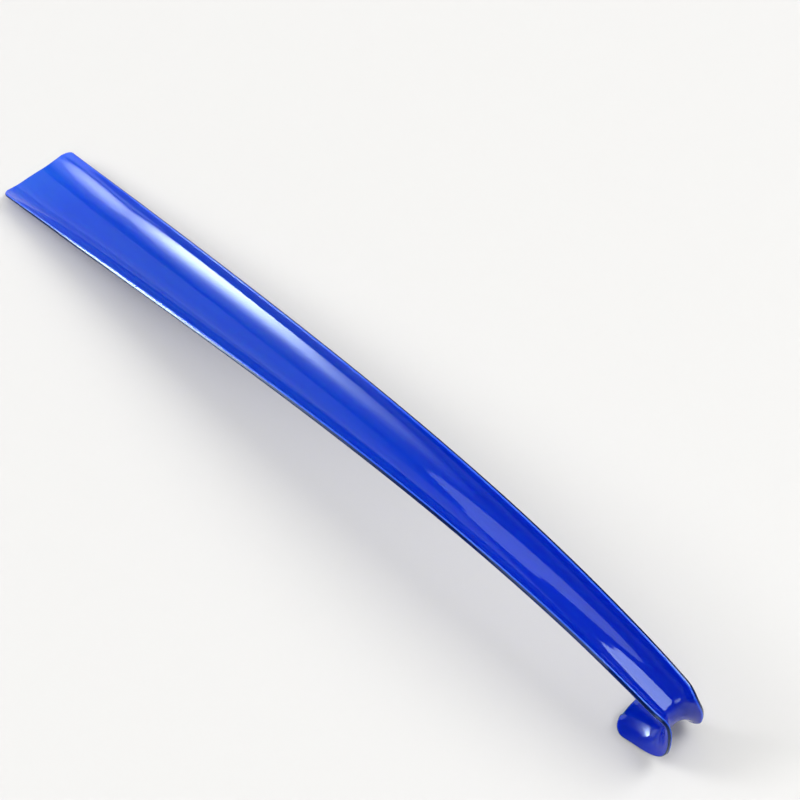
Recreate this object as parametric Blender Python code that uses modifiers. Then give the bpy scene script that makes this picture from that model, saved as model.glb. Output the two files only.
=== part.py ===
"""Long shoehorn: one plastic moulding, lying on a table on its blade's end and its hook.

An open channel about 2 mm thick runs the whole length. It is wide and shallow at the
blade, narrow and deep at the far end, and there it turns down and back under itself, with
its groove on the outside of the bend, and flares into a rounded foot.

Frame: metres. +X runs from the blade's end to the hook, +Y across, +Z up. The origin lies
on the table, under the middle of the part's box. XZ is the plane of symmetry.
"""

import math

import bmesh
import bpy
from mathutils import Matrix, Vector

PART = "shoehorn"

# ---- Driving dimensions, in metres --------------------------------------------------
# The rim line is the side view of the channel's two upper edges. Everything hangs on it:
# a section stands square to it, and s is the distance along it from the blade's end.
RISE = math.radians(8.19)         # how steeply the blade rises from its end
BLADE_STRAIGHT = 0.070            # the blade is dead straight this far
SHAFT_END = 0.4142                # here the shaft's long arch meets the hook
ARCH_START = 0.28                 # curvature of the arch at the blade, 1/m
ARCH_GROWTH = 3.00                # what it gains by the hook, 1/m
ARCH_POWER = 2.16                 # how late it gains it

# Pairs of a distance past the shaft's end and the curvature there, 1/m.
HOOK_CURVATURE = ((0.000, 3.3), (0.005, 96.0), (0.012, 61.5), (0.020, 37.0),
                  (0.028, 88.0), (0.036, 66.0), (0.046, 20.0), (0.056, 0.0))
HOOK_LENGTH = 0.0570              # rim line from the shaft's end to the foot's edge

# Pairs of a place along the rim line and the value there; smooth curves join them.
HALF_WIDTH = ((0.000, 0.0198), (0.100, 0.0172), (0.238, 0.0138), (0.366, 0.0104),
              (0.4142, 0.0090), (0.423, 0.0076), (0.432, 0.0089), (0.442, 0.0098),
              (0.456, 0.0107), (0.469, 0.0132))
DEPTH = ((0.000, 0.0056), (0.060, 0.0074), (0.200, 0.0076), (0.300, 0.0078),
         (0.414, 0.0066), (0.430, 0.0064), (0.450, 0.0070), (0.469, 0.0044))
SOLE_HALF = ((0.000, 0.0050), (0.090, 0.0030), (0.300, 0.0010))  # flat strip in the middle
WALL = 0.0020                     # plastic thickness along the shaft
WALL_SHARE = ((0.000, 0.60), (0.060, 1.00))  # the wall thins towards the blade's end

TIP_CORNER = 0.0050               # corner radius of the blade's end, seen from above
TIP_BULGE = 0.0048                # how far the middle of the blade's end stands out
FOOT_CORNER = 0.0065              # corner radius of the foot
BULGE_POWER = 3.0                 # how square the bulge is
BULGE_REACH = 0.025               # the bulge dies away over this length

# Rows of faces in each stretch of the rim line, and columns from the middle to the rim.
CORNER_ROWS = 6
BLADE_ROWS = 8
SHAFT_ROWS = 36
HOOK_ROWS = 30
ARC_COLUMNS = 8
STEP = 0.00025                    # step for adding up the rim line's headings
MERGE = 0.00005                   # the two halves meet within this distance
SHARP_ANGLE = math.radians(40.0)  # steeper edges than this stay crisp

PLASTIC = (0.015, 0.060, 0.560, 1.0)
PLASTIC_ROUGHNESS = 0.12


# ---- Curves -------------------------------------------------------------------------
def smooth_value(keys, place):
    """Value at a place on a smooth curve through the keys, which never overshoots them."""
    if place <= keys[0][0]:
        return keys[0][1]
    if place >= keys[-1][0]:
        return keys[-1][1]
    slopes = [(b[1] - a[1]) / (b[0] - a[0]) for a, b in zip(keys, keys[1:])]

    def tangent(index):
        if index in (0, len(keys) - 1):
            return slopes[min(index, len(slopes) - 1)]
        before, after = slopes[index - 1], slopes[index]
        if before * after <= 0.0:
            return 0.0
        return 2.0 * before * after / (before + after)

    index = max(i for i in range(len(keys) - 1) if keys[i][0] <= place)
    (start, low), (end, high) = keys[index], keys[index + 1]
    span = end - start
    u = (place - start) / span
    return ((2 * u**3 - 3 * u**2 + 1) * low + (u**3 - 2 * u**2 + u) * span * tangent(index)
            + (3 * u**2 - 2 * u**3) * high + (u**3 - u**2) * span * tangent(index + 1))


def curvature(s):
    """How fast the rim line turns downwards at s, in 1/m."""
    if s < BLADE_STRAIGHT:
        return 0.0
    if s > SHAFT_END:
        return smooth_value(HOOK_CURVATURE, s - SHAFT_END)
    share = (s - BLADE_STRAIGHT) / (SHAFT_END - BLADE_STRAIGHT)
    return ARCH_START + ARCH_GROWTH * share**ARCH_POWER


def rim_line():
    """Points (x, z, heading) of the rim line, one every STEP."""
    points = [(0.0, 0.0, RISE)]
    for index in range(round((SHAFT_END + HOOK_LENGTH) / STEP)):
        x, z, heading = points[-1]
        turn = curvature((index + 0.5) * STEP) * STEP
        middle = heading - turn / 2
        points.append((x + math.cos(middle) * STEP, z + math.sin(middle) * STEP,
                       heading - turn))
    return points


RIM = rim_line()
TOTAL = (len(RIM) - 1) * STEP


def rim_at(s):
    """(x, z, heading) of the rim line at s."""
    place = min(max(s / STEP, 0.0), len(RIM) - 1.001)
    index = int(place)
    share = place - index
    return tuple(a + (b - a) * share for a, b in zip(RIM[index], RIM[index + 1]))


def corner_trim(distance, radius):
    """How much a rounded corner takes off the half width, at a distance from the end."""
    if distance >= radius:
        return 0.0
    return radius - math.sqrt(max(0.0, radius**2 - (radius - distance) ** 2))


def channel_point(s, column):
    """A point of the channel's inner face; column runs from 0 in the middle to 1 at the rim.

    The section is a circular arc on each side of a narrow flat strip. The rounded ends cut
    the arc short, and the blade's end bulges in the middle.
    """
    half_width = smooth_value(HALF_WIDTH, s)
    depth = smooth_value(DEPTH, s)
    sole = smooth_value(SOLE_HALF, s)
    arc_width = half_width - sole
    radius = (arc_width**2 + depth**2) / (2 * depth)
    trim = max(corner_trim(s, TIP_CORNER), corner_trim(TOTAL - s, FOOT_CORNER))
    if trim > 0.0:
        opening = math.asin((arc_width - trim) / radius)
    else:
        opening = 2 * math.atan2(depth, arc_width)
    share = (column * (ARC_COLUMNS + 1) - 1) / ARC_COLUMNS
    if share < 0.0:
        across, drop = sole * (1.0 + share * ARC_COLUMNS), depth
    else:
        across = sole + radius * math.sin(opening * share)
        drop = depth - radius * (1.0 - math.cos(opening * share))
    hollow = (across / half_width) ** BULGE_POWER
    s += TIP_BULGE * hollow * max(0.0, 1.0 - s / BULGE_REACH)
    x, z, heading = rim_at(s)
    return Vector((x + math.sin(heading) * drop, across, z - math.cos(heading) * drop))


def lay_down():
    """Turns and lifts the part so that the blade's end and the foot's rims touch z = 0."""
    tip_depth = smooth_value(DEPTH, 0.0) + WALL * smooth_value(WALL_SHARE, 0.0)
    x, z, heading = rim_at(0.0)
    tip = Vector((x + math.sin(heading) * tip_depth, z - math.cos(heading) * tip_depth))
    hook = RIM[round(SHAFT_END / STEP):]
    foot = min((Vector(point[:2]) for point in hook),
               key=lambda point: math.atan2(point.y - tip.y, point.x - tip.x))
    angle = math.atan2(foot.y - tip.y, foot.x - tip.x)
    turn = Matrix.Rotation(angle, 4, "Y")
    lift = (turn @ Vector((tip.x, 0.0, tip.y))).z
    return Matrix.Translation((0.0, 0.0, -lift)) @ turn


# ---- The moulding -------------------------------------------------------------------
def stations():
    """Places along the rim line where the rows of faces meet, closer round the corners."""
    tip = [TIP_CORNER * (1 - math.cos(math.pi / 2 * row / CORNER_ROWS))
           for row in range(CORNER_ROWS)]
    foot = [TOTAL - FOOT_CORNER * (1 - math.cos(math.pi / 2 * row / CORNER_ROWS))
            for row in range(CORNER_ROWS + 1)]
    places = tip
    stretches = ((TIP_CORNER, BLADE_STRAIGHT, BLADE_ROWS),
                 (BLADE_STRAIGHT, SHAFT_END, SHAFT_ROWS),
                 (SHAFT_END, TOTAL - FOOT_CORNER, HOOK_ROWS))
    for start, end, rows in stretches:
        places += [start + (end - start) * row / rows for row in range(rows)]
    return places + foot[::-1]


def half_channel():
    """The inner face of the +Y half, as a grid bent along the rim line."""
    places = stations()
    rows = len(places) - 1
    grid = bmesh.new()
    bmesh.ops.create_grid(grid, x_segments=rows, y_segments=ARC_COLUMNS + 1, size=1.0)
    thinning = grid.verts.layers.deform.verify()
    for vertex in grid.verts:
        s = places[round((vertex.co.x + 1.0) / 2.0 * rows)]
        vertex[thinning][0] = smooth_value(WALL_SHARE, s)
        vertex.co = channel_point(s, (vertex.co.y + 1.0) / 2.0)
    mesh = bpy.data.meshes.new(PART)
    grid.to_mesh(mesh)
    grid.free()
    return mesh


def plastic():
    """Glossy blue plastic."""
    material = bpy.data.materials.new("blue_plastic")
    material.use_nodes = True
    shader = material.node_tree.nodes["Principled BSDF"]
    shader.inputs["Base Color"].default_value = PLASTIC
    shader.inputs["Roughness"].default_value = PLASTIC_ROUGHNESS
    shader.inputs["Metallic"].default_value = 0.0
    return material


def centre_on_origin(part):
    """Moves the part along X until its box is centred on the origin."""
    seen = part.evaluated_get(bpy.context.evaluated_depsgraph_get())
    along = [(part.matrix_world @ vertex.co).x for vertex in seen.data.vertices]
    part.location.x -= (min(along) + max(along)) / 2


def build():
    for existing in list(bpy.data.objects):
        bpy.data.objects.remove(existing, do_unlink=True)
    mesh = half_channel()
    mesh.transform(lay_down())
    mesh.materials.append(plastic())
    part = bpy.data.objects.new(PART, mesh)
    part.vertex_groups.new(name="thickness")
    collection = bpy.data.collections.new("long_shoehorn")
    bpy.context.scene.collection.children.link(collection)
    collection.objects.link(part)

    mirror = part.modifiers.new("both halves", "MIRROR")
    mirror.use_axis = (False, True, False)
    mirror.merge_threshold = MERGE
    shell = part.modifiers.new("plastic wall", "SOLIDIFY")
    shell.thickness = WALL
    shell.offset = -1.0
    shell.use_even_offset = True
    shell.use_rim = True
    shell.vertex_group = "thickness"
    mesh.shade_smooth()
    mesh.set_sharp_from_angle(angle=SHARP_ANGLE)
    bpy.context.view_layer.update()
    centre_on_origin(part)
    bpy.context.view_layer.update()


build()
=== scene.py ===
import math

import bpy
import numpy as np
from mathutils import Matrix, Vector


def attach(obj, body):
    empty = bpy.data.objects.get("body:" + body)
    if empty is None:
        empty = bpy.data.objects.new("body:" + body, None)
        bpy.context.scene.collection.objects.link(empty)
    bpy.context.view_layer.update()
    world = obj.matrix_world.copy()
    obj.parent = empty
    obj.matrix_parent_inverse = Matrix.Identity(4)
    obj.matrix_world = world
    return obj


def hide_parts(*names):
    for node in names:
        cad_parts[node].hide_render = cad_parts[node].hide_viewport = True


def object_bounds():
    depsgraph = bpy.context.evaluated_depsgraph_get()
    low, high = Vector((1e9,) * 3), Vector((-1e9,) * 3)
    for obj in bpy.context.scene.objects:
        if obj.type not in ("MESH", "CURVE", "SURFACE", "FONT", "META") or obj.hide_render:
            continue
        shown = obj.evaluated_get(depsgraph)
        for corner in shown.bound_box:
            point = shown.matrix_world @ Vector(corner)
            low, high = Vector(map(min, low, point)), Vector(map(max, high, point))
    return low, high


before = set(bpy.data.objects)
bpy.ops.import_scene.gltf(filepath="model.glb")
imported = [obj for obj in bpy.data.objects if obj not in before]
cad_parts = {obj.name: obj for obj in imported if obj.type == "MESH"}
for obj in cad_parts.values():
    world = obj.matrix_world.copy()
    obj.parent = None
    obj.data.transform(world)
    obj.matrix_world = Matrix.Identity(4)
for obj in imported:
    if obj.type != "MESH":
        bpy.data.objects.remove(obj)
CAD_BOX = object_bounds()

# The looks of the long shoehorn: one glossy, slightly see-through blue moulding, on a pale
# floor under soft light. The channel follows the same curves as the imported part, with a
# much finer surface, rounded rims and the small marks that the mould leaves.
# Metres; +X from the blade's end to the hook, +Y across, +Z up. s is the distance along
# the rim line, the side view of the channel's two upper edges, from the blade's end.

# ---- The channel's driving dimensions ------------------------------------------------
RISE = math.radians(8.19)         # how steeply the blade rises from its end
BLADE_STRAIGHT = 0.070            # the blade is dead straight this far
SHAFT_END = 0.4142                # here the shaft's long arch meets the hook
ARCH_START = 0.28                 # curvature of the arch at the blade, 1/m
ARCH_GROWTH = 3.00                # what it gains by the hook, 1/m
ARCH_POWER = 2.16                 # how late it gains it

# Pairs of a distance past the shaft's end and the curvature there, 1/m.
HOOK_CURVATURE = ((0.000, 3.3), (0.005, 96.0), (0.012, 61.5), (0.020, 37.0),
                  (0.028, 88.0), (0.036, 66.0), (0.046, 20.0), (0.056, 0.0))
HOOK_LENGTH = 0.0570              # rim line from the shaft's end to the foot's edge

# Pairs of a place along the rim line and the value there; smooth curves join them.
HALF_WIDTH = ((0.000, 0.0198), (0.100, 0.0172), (0.238, 0.0138), (0.366, 0.0104),
              (0.4142, 0.0090), (0.423, 0.0076), (0.432, 0.0089), (0.442, 0.0098),
              (0.456, 0.0107), (0.469, 0.0132))
DEPTH = ((0.000, 0.0056), (0.060, 0.0074), (0.200, 0.0076), (0.300, 0.0078),
         (0.414, 0.0066), (0.430, 0.0064), (0.450, 0.0070), (0.469, 0.0044))
SOLE_HALF = ((0.000, 0.0050), (0.090, 0.0030), (0.300, 0.0010))  # flat strip in the middle
WALL = 0.0020                     # plastic thickness along the shaft
WALL_SHARE = ((0.000, 0.60), (0.060, 1.00))  # the wall thins towards the blade's end

TIP_CORNER = 0.0050               # corner radius of the blade's end, seen from above
TIP_BULGE = 0.0048                # how far the middle of the blade's end stands out
FOOT_CORNER = 0.0065              # corner radius of the foot
BULGE_POWER = 3.0                 # how square the bulge is
BULGE_REACH = 0.025               # the bulge dies away over this length
EDGE_RADIUS = 0.00055             # rounding of the rim's two long edges
EJECTOR_MARKS = (0.040, 0.130, 0.220, 0.310, 0.390)  # round marks under the sole, along s
MARK_RADIUS = 0.0026
MARK_DEPTH = 0.00015              # how far a mark is sunk into the underside
MARK_EDGE = 0.0008                # a mark's edge slopes over this distance

# Rows in each stretch of the rim line, columns across, and steps round an edge.
CORNER_ROWS = 14
BLADE_ROWS = 40
SHAFT_ROWS = 190
HOOK_ROWS = 120
COLUMNS = 56
EDGE_STEPS = 6
STEP = 0.00025                    # step for adding up the rim line's headings
OFF_RIM = -1.0                    # the rim share of points that aren't on the rim


# ---- Curves --------------------------------------------------------------------------
def smooth_value(keys, place):
    """Value at a place on a smooth curve through the keys, which never overshoots them."""
    if place <= keys[0][0]:
        return keys[0][1]
    if place >= keys[-1][0]:
        return keys[-1][1]
    slopes = [(b[1] - a[1]) / (b[0] - a[0]) for a, b in zip(keys, keys[1:])]

    def tangent(index):
        if index in (0, len(keys) - 1):
            return slopes[min(index, len(slopes) - 1)]
        before, after = slopes[index - 1], slopes[index]
        if before * after <= 0.0:
            return 0.0
        return 2.0 * before * after / (before + after)

    index = max(i for i in range(len(keys) - 1) if keys[i][0] <= place)
    (start, low), (end, high) = keys[index], keys[index + 1]
    span = end - start
    u = (place - start) / span
    return ((2 * u**3 - 3 * u**2 + 1) * low + (u**3 - 2 * u**2 + u) * span * tangent(index)
            + (3 * u**2 - 2 * u**3) * high + (u**3 - u**2) * span * tangent(index + 1))


def curvature(s):
    """How fast the rim line turns downwards at s, in 1/m."""
    if s < BLADE_STRAIGHT:
        return 0.0
    if s > SHAFT_END:
        return smooth_value(HOOK_CURVATURE, s - SHAFT_END)
    share = (s - BLADE_STRAIGHT) / (SHAFT_END - BLADE_STRAIGHT)
    return ARCH_START + ARCH_GROWTH * share**ARCH_POWER


def rim_line():
    """Rows (x, z, heading) of the rim line, one every STEP."""
    points = [(0.0, 0.0, RISE)]
    for index in range(round((SHAFT_END + HOOK_LENGTH) / STEP)):
        x, z, heading = points[-1]
        turn = curvature((index + 0.5) * STEP) * STEP
        middle = heading - turn / 2
        points.append((x + math.cos(middle) * STEP, z + math.sin(middle) * STEP,
                       heading - turn))
    return np.array(points)


RIM = rim_line()
TOTAL = (len(RIM) - 1) * STEP
RIM_PLACES = np.arange(len(RIM)) * STEP


def corner_trim(distance, radius):
    """How much a rounded corner takes off the half width, at a distance from the end."""
    if distance >= radius:
        return 0.0
    return radius - math.sqrt(max(0.0, radius**2 - (radius - distance) ** 2))


# ---- The moulding --------------------------------------------------------------------
def stations():
    """Places along the rim line of the rows, closer round the corners and in the hook."""
    start, end = EDGE_RADIUS, TOTAL - EDGE_RADIUS
    turns = [1 - math.cos(math.pi / 2 * row / CORNER_ROWS) for row in range(CORNER_ROWS + 1)]
    tip = [start + (TIP_CORNER - EDGE_RADIUS) * turn for turn in turns[:-1]]
    foot = [end - (FOOT_CORNER - EDGE_RADIUS) * turn for turn in turns]
    places = tip
    stretches = ((TIP_CORNER, BLADE_STRAIGHT, BLADE_ROWS),
                 (BLADE_STRAIGHT, SHAFT_END, SHAFT_ROWS),
                 (SHAFT_END, TOTAL - FOOT_CORNER, HOOK_ROWS))
    for low, high, rows in stretches:
        places += [low + (high - low) * row / rows for row in range(rows)]
    return places + foot[::-1]


def section_row(s):
    """One row of the groove's face, from the -Y rim to the +Y rim, short of the rounding."""
    half_width = smooth_value(HALF_WIDTH, s)
    depth = smooth_value(DEPTH, s)
    sole = smooth_value(SOLE_HALF, s)
    arc_width = half_width - sole
    radius = (arc_width**2 + depth**2) / (2 * depth)
    trim = max(corner_trim(s - EDGE_RADIUS, TIP_CORNER - EDGE_RADIUS),
               corner_trim(TOTAL - EDGE_RADIUS - s, FOOT_CORNER - EDGE_RADIUS))
    if trim > 0.0:
        opening = math.asin((arc_width - trim) / radius)
    else:
        opening = 2 * math.atan2(depth, arc_width)
    reach = sole + radius * opening - EDGE_RADIUS
    along = np.linspace(-1.0, 1.0, COLUMNS + 1) * reach
    turn = np.maximum(np.abs(along) - sole, 0.0) / radius
    across = np.minimum(np.abs(along), sole) + radius * np.sin(turn)
    drop = depth - radius * (1.0 - np.cos(turn))
    hollow = (across / half_width) ** BULGE_POWER
    place = s + TIP_BULGE * hollow * max(0.0, 1.0 - s / BULGE_REACH)
    x, z, heading = (np.interp(place, RIM_PLACES, RIM[:, axis]) for axis in range(3))
    return np.stack((x + np.sin(heading) * drop, np.copysign(across, along),
                     z - np.cos(heading) * drop), axis=1)


def ejector_dents(s, across):
    """How deep the mould's ejector pins have marked the underside, along one row."""
    distance = np.hypot(min(abs(s - mark) for mark in EJECTOR_MARKS), across)
    return MARK_DEPTH * np.clip((MARK_RADIUS - distance) / MARK_EDGE, 0.0, 1.0)


def unit(vectors):
    """The same directions, with length 1."""
    return vectors / np.linalg.norm(vectors, axis=-1, keepdims=True)


def groove_and_back(places):
    """The groove's face, its normals, each row's wall thickness, and the underside."""
    face = np.array([section_row(s) for s in places])
    wall = np.array([WALL * smooth_value(WALL_SHARE, s) for s in places])
    normal = unit(np.cross(np.gradient(face, axis=0), np.gradient(face, axis=1)))
    normal *= np.sign(normal[len(places) // 2, COLUMNS // 2, 2])
    dents = np.array([ejector_dents(s, row[:, 1]) for s, row in zip(places, face)])
    return face, normal, wall, face - normal * (wall[:, None] - dents)[..., None]


def outward_at(edge, edge_normal, middle):
    """The directions that lead away from the groove's face, at each point of its edge."""
    tangent = unit(np.roll(edge, -1, axis=0) - np.roll(edge, 1, axis=0))
    outward = unit(np.cross(edge_normal, tangent))
    return outward if np.dot(outward[0], edge[0] - middle) >= 0.0 else -outward


def edge_profile(edge_wall):
    """How far out and how far down each ring of the rim is, round its two rounded edges."""
    turns = [math.pi / 2 * step / EDGE_STEPS for step in range(EDGE_STEPS + 1)]
    for angle in turns[1:]:
        down = EDGE_RADIUS * (1.0 - math.cos(angle))
        yield EDGE_RADIUS * math.sin(angle), np.full(len(edge_wall), down)
    for angle in turns[:-1]:
        yield EDGE_RADIUS * math.cos(angle), edge_wall - EDGE_RADIUS * (1.0 - math.sin(angle))


def moulding_arrays():
    """Points, faces and rim shares of the closed moulding, in the rim line's own frame.

    A point's rim share runs from 0 at the groove's edge to 1 at the underside's. It is
    OFF_RIM on the groove's face and on the underside.
    """
    face, normal, wall, back = groove_and_back(stations())
    rows, columns = face.shape[:2]
    index = np.arange(rows * columns).reshape(rows, columns)
    loop = np.concatenate((index[0, :-1], index[:-1, -1], index[-1, :0:-1], index[:0:-1, 0]))
    edge = face.reshape(-1, 3)[loop]
    edge_normal = normal.reshape(-1, 3)[loop]
    edge_wall = np.repeat(wall, columns)[loop]
    outward = outward_at(edge, edge_normal, face[:, columns // 2].mean(axis=0))

    made = 2 * rows * columns
    points = [face.reshape(-1, 3), back.reshape(-1, 3)]
    rim_shares = [np.full(made, OFF_RIM)]
    rings = [loop]
    for out, down in edge_profile(edge_wall):
        points.append(edge + outward * out - edge_normal * down[:, None])
        rim_shares.append(down / edge_wall)
        rings.append(made + np.arange(len(loop)))
        made += len(loop)
    rings.append(loop + rows * columns)

    front = np.stack((index[:-1, :-1], index[1:, :-1], index[1:, 1:], index[:-1, 1:]), axis=-1)
    front = front.reshape(-1, 4)
    quads = [front, front[:, ::-1] + rows * columns]
    for upper, under in zip(rings, rings[1:]):
        quads.append(np.stack((upper, np.roll(upper, -1), np.roll(under, -1), under), axis=-1))
    return np.concatenate(points), np.concatenate(quads), np.concatenate(rim_shares)


def lay_down():
    """Turns and lifts the part so that the blade's end and the foot's rims touch z = 0."""
    tip_depth = smooth_value(DEPTH, 0.0) + WALL * smooth_value(WALL_SHARE, 0.0)
    x, z, heading = RIM[0]
    tip = Vector((x + math.sin(heading) * tip_depth, z - math.cos(heading) * tip_depth))
    hook = RIM[round(SHAFT_END / STEP):]
    foot = min((Vector(point[:2]) for point in hook),
               key=lambda point: math.atan2(point.y - tip.y, point.x - tip.x))
    angle = math.atan2(foot.y - tip.y, foot.x - tip.x)
    turn = Matrix.Rotation(angle, 4, "Y")
    lift = (turn @ Vector((tip.x, 0.0, tip.y))).z
    return Matrix.Translation((0.0, 0.0, -lift)) @ turn


def moulding():
    """The whole shoehorn as one fine closed mesh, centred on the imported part's box."""
    points, quads, rim_shares = moulding_arrays()
    mesh = bpy.data.meshes.new("shoehorn_moulding")
    mesh.from_pydata(points.tolist(), [], quads.tolist())
    mesh.transform(lay_down())
    mesh.update()
    along = np.array([vertex.co.x for vertex in mesh.vertices])
    shift = (CAD_BOX[0].x + CAD_BOX[1].x) / 2 - (along.min() + along.max()) / 2
    mesh.transform(Matrix.Translation((shift, 0.0, 0.0)))
    mesh.shade_smooth()
    rim = mesh.attributes.new("rim", "FLOAT", "POINT")
    rim.data.foreach_set("value", rim_shares)
    piece = bpy.data.objects.new("shoehorn_moulding", mesh)
    bpy.context.scene.collection.objects.link(piece)
    return piece


# ---- Materials -----------------------------------------------------------------------
# Pairs of a place along X, as a share of the part's length, and the plastic's colour there:
# lighter at the thin blade end, a painted glow that stands in for light through the wall,
# and deeper towards the hook.
TINTS_AND_GLOW = ((0.00, (0.010, 0.090, 0.640)), (0.08, (0.006, 0.054, 0.510)),
         (0.25, (0.003, 0.046, 0.450)), (0.50, (0.002, 0.038, 0.430)),
         (0.75, (0.001, 0.023, 0.430)), (1.00, (0.001, 0.015, 0.400)))
EDGE_GLOW = (0.020, 0.100, 0.620, 1.0)    # painted highlight along the rim's inner edge, where light gathers
EDGE_SHADE = (0.001, 0.008, 0.060, 1.0)   # and painted shade that darkens its outer edge
GLOW_STARTS = (0.00, 0.05)                # rim shares between which the glow comes in
SHADE_STARTS = (0.25, 0.45)               # between which the shade comes in
SHADE_ENDS = (1.00, 0.95)                 # and between which it is gone again

# Patterns in the plastic: how fine, per metre; how much detail; and how far drawn out along
# X, Y and Z, where a small share is far.
FLOW_LINES = (90.0, 3.0, (0.12, 1.0, 1.0))
CLOUDS = (14.0, 2.0)
SCRATCH_LINES = (900.0, 1.0, (0.015, 1.0, 0.35))
SCRATCH_PATCHES = (45.0, 2.0, (0.4, 1.0, 1.0))
SMUDGES = (30.0, 3.0)
WAVES = (16.0, 1.0)

# Pairs are a range of a pattern's values, or what that range is turned into.
TONE_RANGE = (0.30, 0.70)
FLOW_TONE = (0.965, 1.000)                # brightness of the flow lines
CLOUD_TONE = (-0.03, 0.05)                # brightness that the clouds add
LINE_RANGE = (0.62, 0.72)                 # only the peaks of the lines are scratches
PATCH_RANGE = (0.45, 0.65)                # and only inside the patches
WEAR_LENGTH = (0.00, 0.45)                # the wear eases off over this share of the length
WEAR = (1.00, 0.25)                       # how scratched the blade and the shaft are
SMUDGE_RANGE = (0.35, 0.70)
SMUDGE_ROUGHNESS = (0.030, 0.060)
SCRATCH_ROUGHNESS = 0.12                  # what a scratch adds to the roughness
SCRATCH_HEIGHT = -0.10                    # how deep a scratch is beside the waves
BUMP_STRENGTH = 0.25
BUMP_DISTANCE = 0.0002
PLASTIC = {"IOR": 1.5, "Specular Tint": (0.60, 0.78, 1.00, 1.0), "Subsurface Weight": 1.0,
           "Subsurface Radius": (0.10, 0.30, 1.00), "Subsurface Scale": 0.005,
           "Transmission Weight": 0.15}

FLOOR_HALF = 6.0                          # half the floor's side
FLOOR = {"Base Color": (0.535, 0.530, 0.520, 1.0), "Roughness": 0.55}


def feed(tree, socket, value):
    """Links a node's output to the socket, or sets the socket to a plain value."""
    if isinstance(value, bpy.types.NodeSocket):
        tree.links.new(value, socket)
    else:
        socket.default_value = value


def add(tree, kind, inputs=None, **settings):
    """A new node, with its settings, and its inputs set or linked."""
    node = tree.nodes.new(kind)
    for name, value in settings.items():
        setattr(node, name, value)
    for socket, value in (inputs or {}).items():
        feed(tree, node.inputs[socket], value)
    return node


def scaled(tree, value, span, result=(0.0, 1.0)):
    """The value, taken from one range to another and held inside it."""
    node = add(tree, "ShaderNodeMapRange",
               {"Value": value, "From Min": span[0], "From Max": span[1],
                "To Min": result[0], "To Max": result[1]})
    return node.outputs["Result"]


def combined(tree, operation, first, second):
    """The two values, put together by a maths operation."""
    node = add(tree, "ShaderNodeMath", {0: first, 1: second}, operation=operation)
    return node.outputs["Value"]


def mixed(tree, factor, first, second):
    """The first colour where the factor is 0, the second where it is 1."""
    node = add(tree, "ShaderNodeMix", data_type="RGBA")
    feed(tree, node.inputs[0], factor)
    sockets = [socket for socket in node.inputs if socket.type == "RGBA"]
    for socket, colour in zip(sockets, (first, second)):
        feed(tree, socket, colour)
    return next(socket for socket in node.outputs if socket.type == "RGBA")


def noise(tree, place, scale, detail, stretch=(1.0, 1.0, 1.0)):
    """Noise of about 0 to 1; a small stretch value draws it out along that axis."""
    mapping = add(tree, "ShaderNodeMapping", {"Vector": place, "Scale": stretch})
    texture = add(tree, "ShaderNodeTexNoise",
                  {"Vector": mapping.outputs["Vector"], "Scale": scale, "Detail": detail})
    return texture.outputs["Fac"]


def plastic_colour(tree, place, along):
    """Tint, painted glow at the thin end, flow lines, and a painted highlight and shade on the
    rim.
    """
    # the tints carry a painted glow at the thin blade end
    ramp = add(tree, "ShaderNodeValToRGB", {"Fac": along})
    stops = ramp.color_ramp.elements        # it starts with one at 0 and one at 1
    for position, _ in TINTS_AND_GLOW[1:-1]:
        stops.new(position)
    for stop, (_, colour) in zip(stops, TINTS_AND_GLOW):
        stop.color = (*colour, 1.0)
    flow = scaled(tree, noise(tree, place, *FLOW_LINES), TONE_RANGE, FLOW_TONE)
    cloud = scaled(tree, noise(tree, place, *CLOUDS), TONE_RANGE, CLOUD_TONE)
    tone = combined(tree, "ADD", flow, cloud)
    toned = add(tree, "ShaderNodeHueSaturation", {"Color": ramp.outputs["Color"], "Value": tone})
    rim = add(tree, "ShaderNodeAttribute", attribute_name="rim").outputs["Fac"]
    # painted highlight on the rim's inner edge and painted shade on its outer edge
    glow = scaled(tree, rim, GLOW_STARTS)
    shade = combined(tree, "MULTIPLY", scaled(tree, rim, SHADE_STARTS),
                     scaled(tree, rim, SHADE_ENDS))
    lit = mixed(tree, glow, toned.outputs["Color"], EDGE_GLOW)
    return mixed(tree, shade, lit, EDGE_SHADE)


def scratches(tree, place, along):
    """Fine lengthwise scratches from use: many on the blade, few on the shaft."""
    lines = scaled(tree, noise(tree, place, *SCRATCH_LINES), LINE_RANGE)
    patches = scaled(tree, noise(tree, place, *SCRATCH_PATCHES), PATCH_RANGE)
    wear = scaled(tree, along, WEAR_LENGTH, WEAR)
    return combined(tree, "MULTIPLY", lines, combined(tree, "MULTIPLY", wear, patches))


def plastic():
    """Glossy blue plastic that lets some light through."""
    material = bpy.data.materials.new("blue_plastic")
    material.use_nodes = True
    tree = material.node_tree
    shader = tree.nodes["Principled BSDF"]
    place = add(tree, "ShaderNodeTexCoord").outputs["Object"]
    x = add(tree, "ShaderNodeSeparateXYZ", {"Vector": place}).outputs["X"]
    along = scaled(tree, x, (CAD_BOX[0].x, CAD_BOX[1].x))
    marks = scratches(tree, place, along)
    smudges = scaled(tree, noise(tree, place, *SMUDGES), SMUDGE_RANGE, SMUDGE_ROUGHNESS)
    roughness = combined(tree, "ADD", smudges,
                         combined(tree, "MULTIPLY", marks, SCRATCH_ROUGHNESS))
    height = combined(tree, "ADD", combined(tree, "MULTIPLY", marks, SCRATCH_HEIGHT),
                      noise(tree, place, *WAVES))
    bump = add(tree, "ShaderNodeBump", {"Height": height, "Strength": BUMP_STRENGTH,
                                        "Distance": BUMP_DISTANCE})
    look = {"Base Color": plastic_colour(tree, place, along), "Roughness": roughness,
            "Normal": bump.outputs["Normal"], **PLASTIC}
    for name, value in look.items():
        feed(tree, shader.inputs[name], value)
    return material


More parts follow.
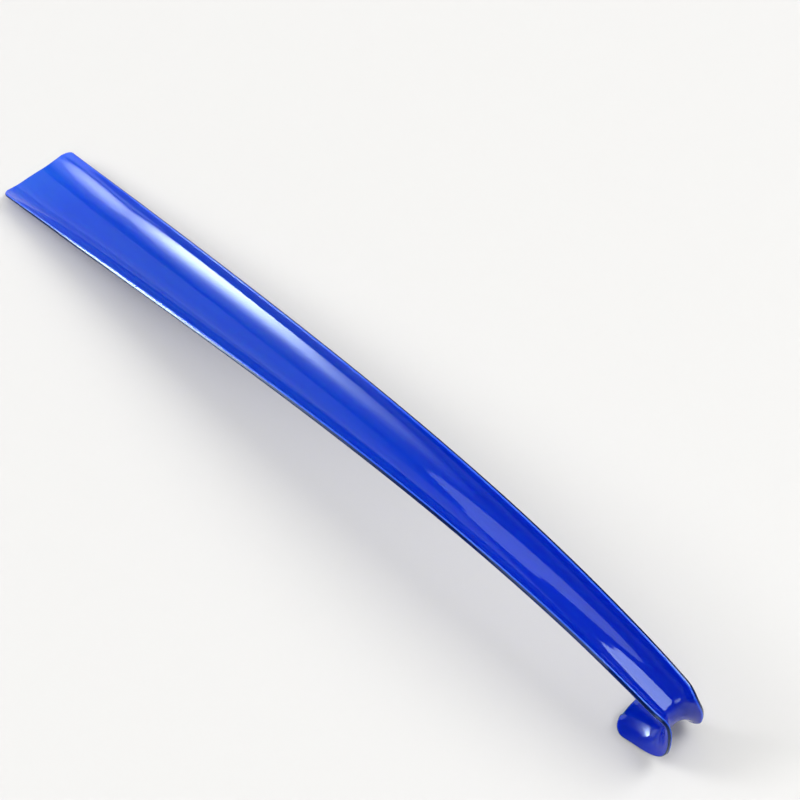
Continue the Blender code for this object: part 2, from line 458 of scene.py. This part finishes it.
def floor():
    """A plain pale table top that runs past every view."""
    mesh = bpy.data.meshes.new("floor")
    corners = [(-FLOOR_HALF, -FLOOR_HALF, 0.0), (FLOOR_HALF, -FLOOR_HALF, 0.0),
               (FLOOR_HALF, FLOOR_HALF, 0.0), (-FLOOR_HALF, FLOOR_HALF, 0.0)]
    mesh.from_pydata(corners, [], [(0, 1, 2, 3)])
    piece = bpy.data.objects.new("floor", mesh)
    material = bpy.data.materials.new("floor")
    material.use_nodes = True
    tree = material.node_tree
    for name, value in FLOOR.items():
        feed(tree, tree.nodes["Principled BSDF"].inputs[name], value)
    mesh.materials.append(material)
    bpy.context.scene.collection.objects.link(piece)
    return piece


# ---- Light ---------------------------------------------------------------------------
CEILING = 3.0                           # height of the lowest softbox over the floor
LAYER = 0.05                            # the next one hangs this much higher, so that
                                        # overlapping ones don't hide each other
SLANT = -32.3                           # turn, in degrees, of the key and the boxes round it

SKY_HEIGHTS = (0.10, 0.55)              # upward share of the direction, where the sky changes
SKY_LEVELS = (0.55, 0.12)               # its brightness below and above that
SKY_COLOUR = (0.96, 0.98, 1.00, 1.0)


def softbox(name, middle, size, level, turn=0.0, soft=(0.0, 0.0, 0.0, 0.0), shape="RECTANGLE"):
    """A flat light that faces the floor, turned by this many degrees.

    Its middle and size are slopes seen from the part, X and Y over height. Its level is its
    brightness. Soft is how far it fades in from its low X, high X, low Y and high Y edges,
    as shares of its size.
    """
    height = CEILING + LAYER * len(bpy.data.lights)
    data = bpy.data.lights.new(name, "AREA")
    data.shape = shape
    data.size, data.size_y = (side * height for side in size)
    fullness = 1.0 if shape == "RECTANGLE" else math.pi / 4   # an ellipse's share of its box
    data.energy = level * math.pi * data.size * data.size_y * fullness
    data.use_nodes = True
    tree = data.node_tree
    spot = add(tree, "ShaderNodeNewGeometry").outputs["Parametric"]
    places = add(tree, "ShaderNodeSeparateXYZ", {"Vector": spot}).outputs
    strength = add(tree, "ShaderNodeValue").outputs[0]
    strength.default_value = 1.0
    for place, fades in zip(places, (soft[:2], soft[2:])):
        for fade, value in zip(fades, (place, combined(tree, "SUBTRACT", 1.0, place))):
            if fade > 0.0:
                ramp = add(tree, "ShaderNodeMapRange", {"Value": value, "From Max": fade},
                           interpolation_type="SMOOTHSTEP").outputs["Result"]
                strength = combined(tree, "MULTIPLY", strength, ramp)
    tree.links.new(strength, tree.nodes["Emission"].inputs["Strength"])
    light = bpy.data.objects.new(name, data)
    light.location = (middle[0] * height, middle[1] * height, height)
    light.rotation_euler.z = math.radians(turn)
    bpy.context.scene.collection.objects.link(light)


def lights():
    """The softboxes, lowest first, and a dim sky that is brighter near the horizon.

    The key, its halo and its glow make the long soft streak down the groove. The fill lights
    the floor on the near side.
    """
    softbox("key", (-1.438, -1.103), (0.65, 2.10), 24.0, SLANT, (0.30, 0.55, 0.10, 0.60))
    softbox("key_halo", (-1.175, -1.062), (1.05, 2.15), 6.0, SLANT, (0.02, 0.60, 0.0, 0.50))
    softbox("key_glow", (-0.977, -0.328), (1.10, 1.60), 2.2, SLANT, (0.25, 0.60, 0.30, 0.70))
    softbox("back", (-2.66, -1.15), (1.30, 2.20), 1.8, SLANT, (0.1, 0.02, 0.0, 0.1))
    softbox("top", (-0.18, -0.03), (0.54, 1.14), 2.2, 21.7, shape="ELLIPSE")
    softbox("side", (0.31, 0.95), (0.64, 1.60), 7.0, shape="ELLIPSE")
    softbox("wall", (-1.415, 1.56), (2.15, 2.15), 0.60, soft=(0.0, 0.08, 0.03, 0.0))
    softbox("fill", (0.85, -0.60), (1.00, 1.30), 4.0, soft=(0.2, 0.2, 0.2, 0.2))
    world = bpy.data.worlds.new("studio")
    world.use_nodes = True
    tree = world.node_tree
    direction = add(tree, "ShaderNodeTexCoord").outputs["Generated"]
    up = add(tree, "ShaderNodeSeparateXYZ", {"Vector": direction}).outputs["Z"]
    sky = tree.nodes["Background"]
    feed(tree, sky.inputs["Strength"], scaled(tree, up, SKY_HEIGHTS, SKY_LEVELS))
    feed(tree, sky.inputs["Color"], SKY_COLOUR)
    bpy.context.scene.world = world
    bpy.context.scene.view_settings.view_transform = "Standard"


# ---- Camera --------------------------------------------------------------------------
CAMERA_PLACE = (0.4051, -0.3604, 0.7859)
CAMERA_AIM = (0.0072, 0.0375, 0.0000)   # the point of the floor in the middle of the view
CAMERA_ROLL = math.radians(1.48)
CAMERA_LENS = 96.9                      # millimetres
CAMERA_SENSOR = 36.0                    # width, in millimetres


def camera():
    """The camera, which looks down on the part from beyond its hook, on the near side."""
    data = bpy.data.cameras.new("camera")
    data.lens = CAMERA_LENS
    data.sensor_width = CAMERA_SENSOR
    view = bpy.data.objects.new("camera", data)
    bpy.context.scene.collection.objects.link(view)
    look = Vector(CAMERA_AIM) - Vector(CAMERA_PLACE)
    turn = look.to_track_quat("-Z", "Y").to_matrix() @ Matrix.Rotation(CAMERA_ROLL, 3, "Z")
    view.matrix_world = Matrix.Translation(CAMERA_PLACE) @ turn.to_4x4()
    bpy.context.scene.camera = view


# ---- The scene -----------------------------------------------------------------------
body = moulding()
body.data.materials.append(plastic())
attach(body, "root")
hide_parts("shoehorn")
ground = floor()
lights()
camera()
